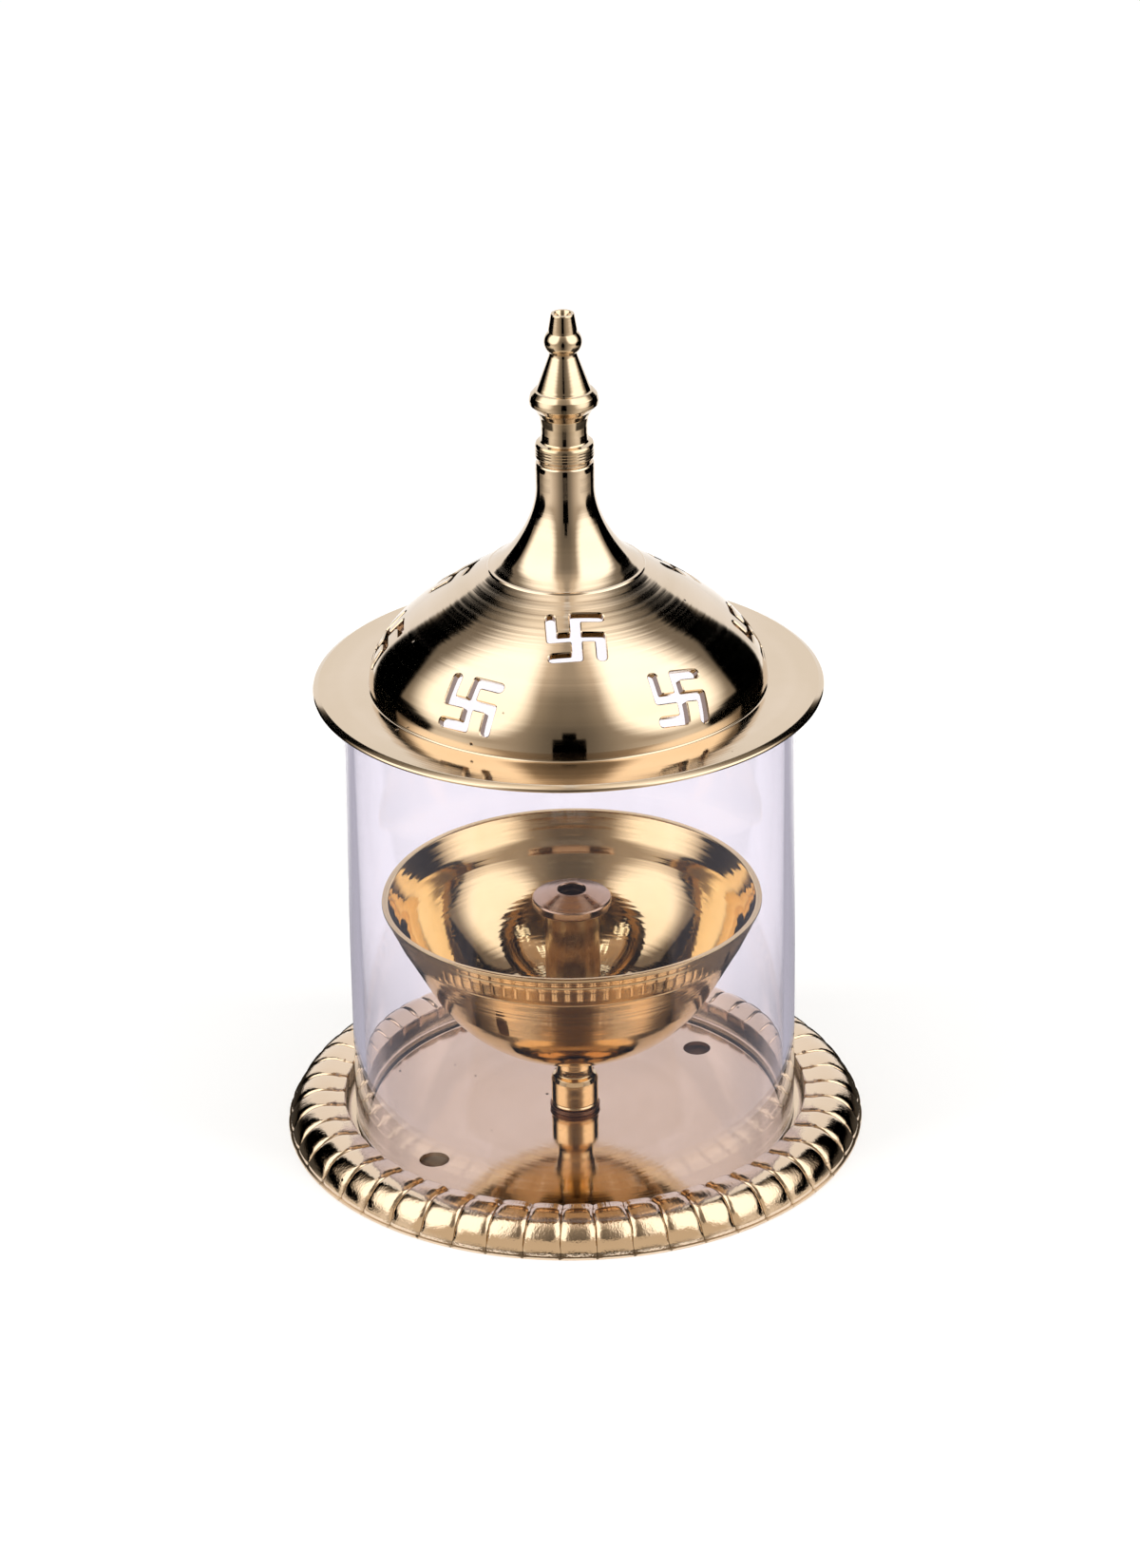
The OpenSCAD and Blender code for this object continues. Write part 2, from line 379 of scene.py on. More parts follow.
def vector_calc(tree, operation, *values):
    """A Vector Math node whose inputs are sockets or triples."""
    node = tree.nodes.new("ShaderNodeVectorMath")
    node.operation = operation
    for socket, value in zip(node.inputs, values):
        feed(tree, socket, value)
    return node.outputs[0]


def scaled(tree, vector, factor):
    """A vector times a number."""
    node = tree.nodes.new("ShaderNodeVectorMath")
    node.operation = "SCALE"
    tree.links.new(vector, node.inputs[0])
    tree.links.new(factor, node.inputs["Scale"])
    return node.outputs["Vector"]


def length_of(tree, vector):
    """The length of a vector."""
    node = tree.nodes.new("ShaderNodeVectorMath")
    node.operation = "LENGTH"
    tree.links.new(vector, node.inputs[0])
    return node.outputs["Value"]


def plate_section():
    """Closed section of the base plate, with how far each point takes part in the fluting."""
    fillet = 1.2
    wall_middle = 3.5
    wall_top = 5.35
    crest_start = 110
    crest_end = 13
    crest_steps = 34
    points = []
    shares = []

    def add(line, share):
        points.extend(line)
        shares.extend(np.broadcast_to(share, len(line)))

    add([(r, FLOOR_TOP) for r in (SCREW_HOLE_R, 8, 14, 20, 26, 32, 36, 38, 40)], 0.0)
    add(arc((WALL_R - fillet, FLOOR_TOP + fillet), fillet, -90, 0, 7), 0.0)
    add([(WALL_R, wall_middle)], 0.25)
    rises = np.linspace(crest_start, crest_end, crest_steps)
    crest = arc((RIM_R, RIM_Z), RIM_TUBE, crest_start, crest_end, crest_steps)
    inner_edge = rounded([(WALL_R, wall_middle, 0), (WALL_R, wall_top, 0.55), (*crest[1], 0)])
    add(inner_edge[1:-1], 0.75)
    add(crest[1:], np.interp(rises, [crest_end, 28, 105, 112], [0.45, 1.0, 1.0, 0.9])[1:])
    lip = rounded([(*crest[-1], 0), (LIP_R, 0.5, 0.12), (LIP_R, 0.0, 0.1), (51.0, 0.0, 0)], 3)[1:]
    add(lip, np.interp([z for _, z in lip], [0.1, 0.5], [0.0, 0.4]))
    add(arc((RIM_R, RIM_Z), RIM_TUBE - RIM_SHEET, 11.5, 119, 16), 0.0)
    add([(WALL_R + 0.8, FLOOR_TOP), (WALL_R, FLOOR_UNDER), (20.0, FLOOR_UNDER)], 0.0)
    add([(SCREW_HOLE_R, FLOOR_UNDER)], 0.0)
    return np.array(points), np.array(shares)


def plate_sector():
    """One flute's strip of the plate: section points by steps across, before the tree bends it."""
    points, shares = plate_section()
    count = len(points)
    columns = FLUTE_STEPS + 1
    verts = [(r * MM, 0.0, z * MM) for _ in range(columns) for r, z in points]
    faces = []
    for c in range(FLUTE_STEPS):
        for k in range(count):
            n = (k + 1) % count
            faces.append((c * count + k, c * count + n, (c + 1) * count + n, (c + 1) * count + k))
    mesh = bpy.data.meshes.new("plate_sector")
    mesh.from_pydata(verts, [], faces)
    away = unit_rows(points - np.array((RIM_R, RIM_Z)))
    across = np.repeat(np.sin(np.linspace(-0.5, 0.5, columns) * math.pi), count)
    rise = np.degrees(np.arctan2(away[:, 1], away[:, 0]))
    flat = np.tile(np.interp(rise, [15.0, 40.0, 70.0, 95.0], [0.0, 0.3, 0.5, 0.1]), columns)
    share = np.tile(shares, columns)
    valley = np.abs(across) * (share > 0.3)
    for name, values in (("across", across), ("flat", flat), ("share", share), ("valley", valley)):
        mesh.attributes.new(name, "FLOAT", "POINT").data.foreach_set("value", values)
    sinks = [(r, 0.0, z) for _ in range(columns) for r, z in -away * shares[:, None]]
    layer = mesh.attributes.new("sink", "FLOAT_VECTOR", "POINT")
    layer.data.foreach_set("vector", np.array(sinks).ravel())
    return mesh


def named_attribute(tree, name, kind):
    """A value that the strip's points carry."""
    node = tree.nodes.new("GeometryNodeInputNamedAttribute")
    node.data_type = kind
    node.inputs["Name"].default_value = name
    return node.outputs["Attribute"]


def plate_sockets(tree):
    """The tree's named inputs, and its output."""
    sockets = {}
    for name, kind in (
        ("Strip", "NodeSocketGeometry"),
        ("Flute Count", "NodeSocketInt"),
        ("Flute Depth", "NodeSocketFloat"),
        ("Flute Crown", "NodeSocketFloat"),
        ("Flat Crown", "NodeSocketFloat"),
        ("First Valley", "NodeSocketFloat"),
        ("Hand Wander", "NodeSocketFloat"),
        ("Hand Sway", "NodeSocketFloat"),
        ("Finish", "NodeSocketMaterial"),
    ):
        sockets[name] = tree.interface.new_socket(name, in_out="INPUT", socket_type=kind)
    tree.interface.new_socket("Plate", in_out="OUTPUT", socket_type="NodeSocketGeometry")
    return sockets


def crowned_strip(tree, given, across):
    """Sinks both sides of the strip, in a narrower valley where the rim lies flat."""
    reach = calc(tree, "ABSOLUTE", across)
    rounded_side = calc(tree, "POWER", reach, given["Flute Crown"])
    narrow_side = calc(tree, "POWER", reach, given["Flat Crown"])
    narrower = calc(tree, "SUBTRACT", narrow_side, rounded_side)
    flat = named_attribute(tree, "flat", "FLOAT")
    edge = calc(tree, "MULTIPLY_ADD", narrower, flat, rounded_side)
    sink = named_attribute(tree, "sink", "FLOAT_VECTOR")
    drop = scaled(tree, sink, calc(tree, "MULTIPLY", edge, given["Flute Depth"]))
    return add_node(tree, "GeometryNodeSetPosition", Geometry=given["Strip"], Offset=drop).outputs[0]


def fanned_strip(tree, strip, across, half_turn):
    """Spreads the strip over one flute's share of the full turn."""
    fan = tree.nodes.new("ShaderNodeVectorRotate")
    fan.rotation_type = "Z_AXIS"
    tree.links.new(tree.nodes.new("GeometryNodeInputPosition").outputs[0], fan.inputs["Vector"])
    tree.links.new(calc(tree, "MULTIPLY", across, half_turn), fan.inputs["Angle"])
    return add_node(tree, "GeometryNodeSetPosition", Geometry=strip, Position=fan.outputs[0]).outputs[0]


def repeated_strip(tree, strip, given, half_turn):
    """Sets the strip at each flute's place round the plate, and welds the strips into one sheet."""
    weld = 2e-6
    places = add_node(tree, "GeometryNodePoints", Count=given["Flute Count"])
    order = tree.nodes.new("GeometryNodeInputIndex").outputs[0]
    step = calc(tree, "MULTIPLY", half_turn, 2.0)
    turn = calc(tree, "MULTIPLY_ADD", calc(tree, "ADD", order, 0.5), step, given["First Valley"])
    rotation = tree.nodes.new("FunctionNodeEulerToRotation")
    tree.links.new(add_node(tree, "ShaderNodeCombineXYZ", Z=turn).outputs[0], rotation.inputs[0])
    repeat = add_node(tree, "GeometryNodeInstanceOnPoints", Points=places.outputs[0],
                      Instance=strip, Rotation=rotation.outputs[0])
    sheet = add_node(tree, "GeometryNodeRealizeInstances", Geometry=repeat.outputs[0]).outputs[0]
    return add_node(tree, "GeometryNodeMergeByDistance", Geometry=sheet, Distance=weld).outputs[0]


def hand_worked(tree, plate, given):
    """Lets the flutes stray a little, outwards by the wander and round the plate by the sway."""
    share = named_attribute(tree, "share", "FLOAT")
    outward = tree.nodes.new("GeometryNodeInputNormal").outputs[0]
    place = tree.nodes.new("GeometryNodeInputPosition").outputs[0]
    around = vector_calc(tree, "NORMALIZE", vector_calc(tree, "CROSS_PRODUCT", UPRIGHT, place))
    wanders_per_m = 260.0
    sways_per_m = 160.0
    ways = ((outward, wanders_per_m, "Hand Wander"), (around, sways_per_m, "Hand Sway"))
    strays = []
    for way, scale, size in ways:
        uneven = add_node(tree, "ShaderNodeTexNoise", Scale=scale, Detail=1.0).outputs["Fac"]
        swing = calc(tree, "MULTIPLY", calc(tree, "SUBTRACT", uneven, 0.5), given[size])
        strays.append(scaled(tree, way, calc(tree, "MULTIPLY", swing, share)))
    stray = vector_calc(tree, "ADD", *strays)
    return add_node(tree, "GeometryNodeSetPosition", Geometry=plate, Offset=stray).outputs[0]


def fluted_plate_tree():
    """Bends a strip into one flute with sharp valleys at its sides and repeats it round the plate."""
    tree = bpy.data.node_groups.new("fluted_plate", "GeometryNodeTree")
    sockets = plate_sockets(tree)
    given = tree.nodes.new("NodeGroupInput").outputs
    across = named_attribute(tree, "across", "FLOAT")
    half_turn = calc(tree, "DIVIDE", math.pi, given["Flute Count"])
    strip = crowned_strip(tree, given, across)
    strip = fanned_strip(tree, strip, across, half_turn)
    plate = repeated_strip(tree, strip, given, half_turn)
    plate = hand_worked(tree, plate, given)
    finish = add_node(tree, "GeometryNodeSetMaterial", Geometry=plate, Material=given["Finish"])
    tree.links.new(finish.outputs[0], tree.nodes.new("NodeGroupOutput").inputs[0])
    return tree, sockets


def fluted_base_plate(material):
    """Pressed plate: polished floor, fluted rim and thin lip, with two air holes."""
    plate = add_piece("fluted_base_plate", plate_sector(), material)
    tree, sockets = fluted_plate_tree()
    flutes = plate.modifiers.new("flutes", "NODES")
    flutes.node_group = tree
    for name, value in (
        ("Flute Count", FLUTE_COUNT),
        ("Flute Depth", FLUTE_DEPTH * MM),
        ("Flute Crown", FLUTE_CROWN),
        ("Flat Crown", FLUTE_FLAT_CROWN),
        ("First Valley", FLUTE_PHASE),
        ("Hand Wander", FLUTE_WANDER * MM),
        ("Hand Sway", FLUTE_SWAY * MM),
        ("Finish", material),
    ):
        flutes[sockets[name].identifier] = value
    keep_evaluated(plate)
    for name in ("across", "sink", "flat", "share"):
        layer = plate.data.attributes.get(name)
        if layer is not None:
            plate.data.attributes.remove(layer)
    face_outwards(plate.data)
    drill_low = -1.0
    drill_high = 4.0
    drills = []
    for turn in VENT_TURNS:
        x = VENT_R * math.cos(math.radians(turn))
        y = VENT_R * math.sin(math.radians(turn))
        drills.append(drill_mesh("drill", (x, y, drill_low), (x, y, drill_high), VENT_RADIUS))
    cut_away(plate, joined(drills))
    smooth(plate.data, 40.0)
    return plate


def copper_ring(material):
    """Thin ring between the plate and the bowl's collar."""
    outline = rounded([
        (SCREW_HOLE_R, FLOOR_TOP, 0), (4.45, FLOOR_TOP, 0.2), (4.55, 1.95, 0.2), (4.4, 2.1, 0.1),
        (4.6, 2.3, 0.15), (4.5, RING_TOP, 0.1), (SCREW_HOLE_R, RING_TOP, 0)])
    return lathe("copper_ring", outline, material, segments=96)


def tangent_turn(centre, radius, end):
    """Angle, in degrees, at which a line from an outer point touches a circle on its lower side."""
    gap = np.array(end) - centre
    reach = np.linalg.norm(gap)
    return math.degrees(math.atan2(gap[1], gap[0]) - math.acos(radius / reach))


def turned_bowl(material):
    """Cast and turned bowl with neck and collar."""
    belly = np.array((1.6, 42.2))
    belly_r = 27.7
    rim_z = 45.6
    rim_r = 34.15
    lip = 1.05
    flank_lean = math.radians(24.0)
    flank_run = 6.9
    hollow_z = 50.3
    hollow_r = 32.1
    collar = rounded([
        (0, RING_TOP, 0), (4.1, RING_TOP, 0.25), (4.3, 2.9, 0.15), (4.05, 3.2, 0.1), (4.3, 3.5, 0.15),
        (4.3, 7.7, 0.3), (3.95, 8.5, 0.3), (3.35, 8.9, 0.4), (3.2, 10.2, 0.5), (3.2, 11.9, 0.3),
        (3.55, 12.3, 0.15), (3.55, 12.7, 0.15), (3.3, 12.95, 0.1), (3.6, 13.3, 0.15),
        (3.6, 13.7, 0.2), (3.4, 14.1, 0.2), (4.1, 14.62, 0)])
    flank_top = np.array((rim_r, rim_z - 0.25))
    waist = flank_top + flank_run * np.array((-math.sin(flank_lean), -math.cos(flank_lean)))
    body = arc(belly, belly_r, -84.8, tangent_turn(belly, belly_r, waist), 60)
    lower = np.linspace(body[-1], waist, 8)[1:]
    flank = np.linspace(waist, flank_top, 12)[1:]
    outer = np.concatenate([body, lower, flank])
    reach = path_length(outer)[-1]
    outer = scribe(outer, reach - 2.0, -0.1, 0.3)
    outer = scribe(outer, reach - flank_run, -0.06, 0.25)
    rim = rounded([
        (*outer[-1], 0), (rim_r, rim_z, 0.35), (rim_r - lip, rim_z, 0.5),
        (rim_r - lip - 0.4, rim_z - 0.9, 0)])[1:]
    hollow = arc((0.0, hollow_z), hollow_r, -17.0, -81.0, 70)
    wall = rounded([(*rim[-1], 0), (*hollow[0], 9.0), (*hollow[5], 0)], 10)[1:-1]
    seat = [(hollow[-1][0], POST_FOOT), (0.0, POST_FOOT)]
    outline = np.concatenate([collar, outer, rim, wall, hollow[5:], seat])
    return lathe("turned_bowl", outline, material, sharp_angle=40.0)


def cast_wick_post(material):
    """Rough tube that stands in the bowl, with an oil hole through its foot."""
    outer = 4.9
    bore = 3.5
    bore_foot = 19.0
    rough_from = 4.0
    rough_size = 0.22
    rough_twist = 0.06
    oil_z = 20.4
    oil_r = 1.2
    step_size = 0.8
    rng = np.random.default_rng(7)
    waves = [(k, rng.uniform(0.0, 2.0 * math.pi), rng.uniform(0.3, 1.0) / k) for k in range(3, 22)]

    def swell(turns, r, z):
        if r < rough_from:
            return np.zeros_like(turns)
        return rough_size * sum(a * np.cos(k * turns + p + rough_twist * z) for k, p, a in waves)

    outline = rounded([
        (0, POST_FOOT, 0), (outer, POST_FOOT, 0.3), (outer, POST_TOP, 0.3), (bore, POST_TOP, 0.2),
        (bore, bore_foot, 0.3), (0, bore_foot, 0)])
    dense = []
    for a, b in zip(outline, outline[1:]):
        steps = max(1, int(np.linalg.norm(b - a) / step_size))
        dense.extend(a + (b - a) * k / steps for k in range(steps))
    dense.append(outline[-1])
    post = lathe("cast_wick_post", np.array(dense), material, segments=128, swell=swell)
    cut_away(post, drill_mesh("oil_hole", (-8.0, 0.0, oil_z), (8.0, 0.0, oil_z), oil_r, 32))
    smooth(post.data, 35.0)
    return post


def turned_wick_cap(material):
    """Turned head with the wick hole, and the spigot that sits in the post."""
    hole = 2.5
    spigot = 3.2
    spigot_foot = 37.9
    outline = rounded([
        (hole, spigot_foot, 0), (spigot, spigot_foot, 0.2), (spigot, POST_TOP, 0.1),
        (6.9, POST_TOP, 0.15), (7.15, 43.2, 0.2), (7.15, 44.4, 0.25), (6.9, 44.7, 0.2),
        (5.6, 45.15, 0.4), (3.1, 46.0, 0.2), (2.65, 46.1, 0.12), (hole, 45.9, 0.1), (hole, 42.0, 0)])
    return lathe("turned_wick_cap", outline, material, segments=128)


def glass_tube(material):
    """Straight chimney with fire-polished ends."""
    outer = 40.1
    middle = 39.1
    inner = 38.1
    soft = 0.4
    outline = rounded([
        (middle, FLOOR_TOP, 0), (outer, FLOOR_TOP, soft), (outer, LID_Z, soft), (inner, LID_Z, soft),
        (inner, FLOOR_TOP, soft), (middle, FLOOR_TOP, 0)])[:-1]
    return lathe("glass_tube", outline, material, sharp_angle=80.0, segments=256)


def lid_curve():
    """Outside of the lid from the neck down the ogee dome to its foot."""
    turn = np.array((11.7, 110.4))
    lean = math.radians(53.0)
    heading = np.array((math.sin(lean), -math.cos(lean)))
    throat = bezier((NECK_R, 123.55), (NECK_R, 118.33), turn - 3.6 * heading, turn, 36)
    dome = bezier(turn, turn + 8.5 * heading, (DOME_R, 97.0), (DOME_R, DOME_FOOT), 84)
    return np.concatenate([throat, dome[1:]])


def lid_outline(curve):
    """Closed section of the lid."""
    bead_r = 13.6
    foot_r = 0.4
    brim_r = 44.9
    skirt_out = 37.6
    skirt_in = 36.1
    skirt_foot = 83.3
    inner_r = DOME_R - DOME_WALL
    at = float(np.interp(bead_r, curve[:, 0], path_length(curve)))
    scribed = scribe(curve, at, -0.11, 0.32)
    neck = rounded([
        (SCREW_HOLE_R, NECK_TOP, 0), (NECK_R - 0.1, NECK_TOP, 0.55), (NECK_R, 127.0, 0.5),
        (*curve[0], 0)], 6)[:-1]
    foot = arc((DOME_R + foot_r, DOME_FOOT), foot_r, 180, 270, 6)[1:]
    brim = rounded([
        (*foot[-1], 0), (40.0, 87.4, 0), (43.9, 87.35, 0.35), (44.75, 86.85, 0.2), (brim_r, 86.6, 0.12),
        (brim_r, LID_Z, 0.15), (skirt_out, LID_Z, 0.3), (skirt_out, skirt_foot, 0.3),
        (skirt_in, skirt_foot, 0.3), (skirt_in, LID_Z, 0.3), (inner_r, LID_Z, 0.4),
        (inner_r, 87.4, 0)], 4)[1:]
    inside = curve - path_normals(curve) * DOME_WALL
    inside = inside[(inside[:, 0] > 3.6) & (inside[:, 1] > 87.6)][::-1]
    drilled = np.array([(SCREW_HOLE_R, inside[-1][1] + 1.2)])
    return np.concatenate([neck, scribed, foot, brim, inside, drilled])


def svastika_outline(width, height, arm):
    """Right-facing svastika with softened corners: the points of its edge, and the way out at each."""
    h = 1.0
    a = arm / width
    w = 2.0 * a
    corners = []
    quarter = [(-a, a, 0.36), (-a, h, 0.5), (h, h, 0.75), (h, h - w, 0.75), (a, h - w, 0.36)]
    for k in range(4):
        for x, y, soft in quarter:
            for _ in range(k):
                x, y = y, -x
            corners.append((x * width / 2, y * height / 2, soft))
    points = rounded(corners[-1:] + corners + corners[:1], 4)[1:-1]
    ahead = unit_rows(np.roll(points, -1, axis=0) - np.roll(points, 1, axis=0))
    return points, left_of(ahead)


def piercing_mesh(curve, centre, lean, turn, tilt):
    """A cutter through the dome whose sides flare at the surface, for a softened edge."""
    points, away = svastika_outline(SIGN_WIDTH, SIGN_HEIGHT, SIGN_ARM)
    spin = math.radians(tilt)
    swirl = np.array(((math.cos(spin), math.sin(spin)), (-math.sin(spin), math.cos(spin))))
    lean = math.radians(lean)
    out = np.array((math.cos(lean), math.sin(lean)))
    up = np.array((-math.sin(lean), math.cos(lean)))
    order = np.argsort(curve[:, 0])
    flare = 0.2
    search = 6.0
    halvings = 40

    def layer(grow, depth, flat):
        uv = (points + away * grow) @ swirl
        base = np.array(centre) + uv[:, 1:2] * up
        low = np.full(len(uv), -search)
        high = np.full(len(uv), search)
        for _ in range(halvings):
            mid = 0.5 * (low + high)
            r = np.hypot(base[:, 0] + mid * out[0], uv[:, 0])
            above = base[:, 1] + mid * out[1] > np.interp(r, curve[order, 0], curve[order, 1])
            high = np.where(above, mid, high)
            low = np.where(above, low, mid)
        shift = np.full(len(uv), depth) if flat else mid + depth
        return np.stack([base[:, 0] + shift * out[0], uv[:, 0], base[:, 1] + shift * out[1]], 1)

    layers = [
        layer(0.0, -5.0, True),
        layer(0.0, -flare, False),
        layer(flare, 0.0, False),
        layer(flare + 0.05, 1.0, True),
    ]
    c = math.cos(math.radians(turn))
    s = math.sin(math.radians(turn))
    verts = [((x * c - y * s) * MM, (x * s + y * c) * MM, z * MM) for x, y, z in np.concatenate(layers)]
    count = len(points)
    bands = len(layers) - 1
    faces = [tuple(range(count)), tuple(range(bands * count, len(verts)))]
    for k in range(bands):
        for i in range(count):
            j = (i + 1) % count
            faces.append((k * count + i, k * count + j, (k + 1) * count + j, (k + 1) * count + i))
    return closed_mesh("piercing", verts, faces)


def settle_normals(piece, outline):
    """Gives the turned faces of a pierced piece the true normals of its outline."""
    samples = 12000
    near = 0.03
    loop = np.concatenate([outline, outline[:1]])
    s = path_length(loop)
    fine = np.linspace(0.0, s[-1], samples)
    side = left_of(unit_rows(np.diff(loop, axis=0)))
    corner = unit_rows(side + np.roll(side, 1, axis=0))
    corner = np.concatenate([corner, corner[:1]])
    lean = unit_rows(at_lengths(fine, s, corner))
    tree = KDTree(samples)
    for i, (r, z) in enumerate(at_lengths(fine, s, loop)):
        tree.insert((r, z, 0.0), i)
    tree.balance()
    mesh = piece.data
    normals = [Vector((0.0, 0.0, 0.0))] * len(mesh.loops)
    for face in mesh.polygons:
        middle = face.center / MM
        _, i, gap = tree.find((math.hypot(middle.x, middle.y), middle.z, 0.0))
        if gap > near:
            continue
        outward = face.normal.x * middle.x + face.normal.y * middle.y
        level = math.copysign(math.hypot(face.normal.x, face.normal.y), outward)
        sign = 1.0 if level * lean[i][0] + face.normal.z * lean[i][1] > 0.0 else -1.0
        for k in face.loop_indices:
            at = mesh.vertices[mesh.loops[k].vertex_index].co / MM
            r = math.hypot(at.x, at.y)
            _, j, _ = tree.find((r, at.z, 0.0))
            nr, nz = sign * lean[j]
            normals[k] = Vector((nr * at.x / r, nr * at.y / r, nz))
    mesh.normals_split_custom_set(normals)


def pierced_lid(material):
    """Cast dome with brim, neck and skirt, pierced with two rows of svastikas."""
    curve = lid_curve()
    outline = braced(lid_outline(curve))
    lid = add_piece("pierced_lid", lathe_mesh("pierced_lid", outline), material)
    rows = ((UPPER_ROW, UPPER_LEAN, UPPER_CUTS), (LOWER_ROW, LOWER_LEAN, LOWER_CUTS))
    cutters = []
    for centre, lean, cuts in rows:
        for turn, tilt in cuts:
            cutters.append(piercing_mesh(curve, centre, lean, turn, tilt))
    cut_away(lid, joined(cutters))
    smooth(lid.data, 30.0)
    settle_normals(lid, outline)
    return lid


def turned_finial(material):
    """Turned knob: collar, waist, bulb, cone, bead and drilled tip. Heights are over the lid's neck."""
    stud = 1.95
    stud_foot = -9.0
    low = rounded([
        (0, stud_foot, 0), (stud, stud_foot, 0.2), (stud, 0.0, 0), (4.5, 0.0, 0), (4.5, 0.45, 0.1),
        (5.0, 0.65, 0.2), (5.12, 1.0, 0.2), (5.1, 3.0, 0.3), (4.9, 3.45, 0.2), (4.3, 3.7, 0.2),
        (4.1, 3.95, 0.15), (4.0, 5.2, 0.6), (4.0, 6.6, 0.8), (4.25, 8.2, 0.8), (4.75, 9.1, 0.2),
        (4.9, 9.45, 0.15), (5.75, 10.35, 0.12), (5.97, 10.6, 0.15), (6.0, 11.3, 0.5),
        (5.75, 12.2, 0.5), (5.05, 12.95, 0.3), (4.7, 13.1, 0.1), (4.6, 13.4, 0.1),
        (4.45, 13.75, 0.1), (2.45, 19.2, 0.25), (2.3, 19.5, 0)])
    bead = arc((0.9, 21.6), 2.4, -52, 48, 16)
    tip = rounded([
        (*bead[-1], 0), (2.5, 23.6, 0.1), (2.5, 23.85, 0.1), (2.05, 26.5, 0.12), (1.95, 26.7, 0.1),
        (1.5, 26.7, 0.1), (1.3, 26.3, 0.1), (0.9, 25.2, 0.2), (0, 24.9, 0)], 4)[1:]
    outline = np.concatenate([low[:-1], bead, tip])
    for z in (1.45, 1.95, 2.45):
        on_collar = (outline[:, 1] > 0.9) & (outline[:, 1] < 3.1) & (outline[:, 0] > 5.0)
        at = float(np.interp(z, outline[on_collar, 1], path_length(outline)[on_collar]))
        outline = scribe(outline, at, -0.05, 0.25)
    outline[:, 1] += NECK_TOP
    return lathe("turned_finial", outline, material, sharp_angle=40.0, segments=128)


def new_material(name):
    """A node material with its output and a Principled shader."""
    material = bpy.data.materials.new(name)
    material.use_nodes = True
    tree = material.node_tree
    return material, tree, tree.nodes["Principled BSDF"]


def bare_material(name):
    """A node material with nothing in it."""
    material = bpy.data.materials.new(name)
    material.use_nodes = True
    material.node_tree.nodes.clear()
    return material, material.node_tree


def show(tree, shader):
    """Makes a shader the surface of a bare material."""
    tree.links.new(shader, tree.nodes.new("ShaderNodeOutputMaterial").inputs["Surface"])


def ring_coordinates(tree):
    """Object coordinates, and the same folded to (radius, height), which a turned ring shares."""
    where = tree.nodes.new("ShaderNodeTexCoord").outputs["Object"]
    radius = length_of(tree, vector_calc(tree, "MULTIPLY", where, (1.0, 1.0, 0.0)))
    split = add_node(tree, "ShaderNodeSeparateXYZ", Vector=where)
    fold = add_node(tree, "ShaderNodeCombineXYZ", X=radius, Y=split.outputs["Z"])
    return where, fold.outputs[0]


def carried(tree, name):
    """Outputs of a value that the mesh carries."""
    node = tree.nodes.new("ShaderNodeAttribute")
    node.attribute_name = name
    return node.outputs


def noise(tree, vector, scale, detail, dimensions="3D", rough=0.55):
    """Soft random values from 0 to 1, with features of about one over scale in metres."""
    node = add_node(tree, "ShaderNodeTexNoise", Vector=vector, Scale=scale, Detail=detail,
                    Roughness=rough)
    node.noise_dimensions = dimensions
    return node.outputs["Fac"]


def spread(tree, value, low, high, to_low, to_high):
    """Maps a value from one range to another, held at the ends."""
    node = add_node(tree, "ShaderNodeMapRange", Value=value, From_Min=low, From_Max=high,
                    To_Min=to_low, To_Max=to_high)
    return node.outputs["Result"]


def blend_colours(tree, share, first, second):
    """The first colour where share is 0, the second where it is 1."""
    node = tree.nodes.new("ShaderNodeMix")
    node.data_type = "RGBA"
    tree.links.new(share, node.inputs["Factor"])
    for socket, colour in ((node.inputs["A"], first), (node.inputs["B"], second)):
        feed(tree, socket, colour if isinstance(colour, bpy.types.NodeSocket) else (*colour, 1.0))
    return node.outputs["Result"]


def bump(tree, height, distance, below=None):
    """Relief of the given depth in metres, on top of the relief below."""
    node = add_node(tree, "ShaderNodeBump", Strength=1.0, Distance=distance, Height=height)
    if below is not None:
        tree.links.new(below, node.inputs["Normal"])
    return node.outputs["Normal"]


def turned_grain(tree, shader, where, amount):
    """Spreads a shine across the turning lines, which run round the axis."""
    around = vector_calc(tree, "NORMALIZE", vector_calc(tree, "CROSS_PRODUCT", UPRIGHT, where))
    tree.links.new(around, shader.inputs["Tangent"])
    shader.inputs["Anisotropic"].default_value = amount
    shader.inputs["Anisotropic Rotation"].default_value = 0.25


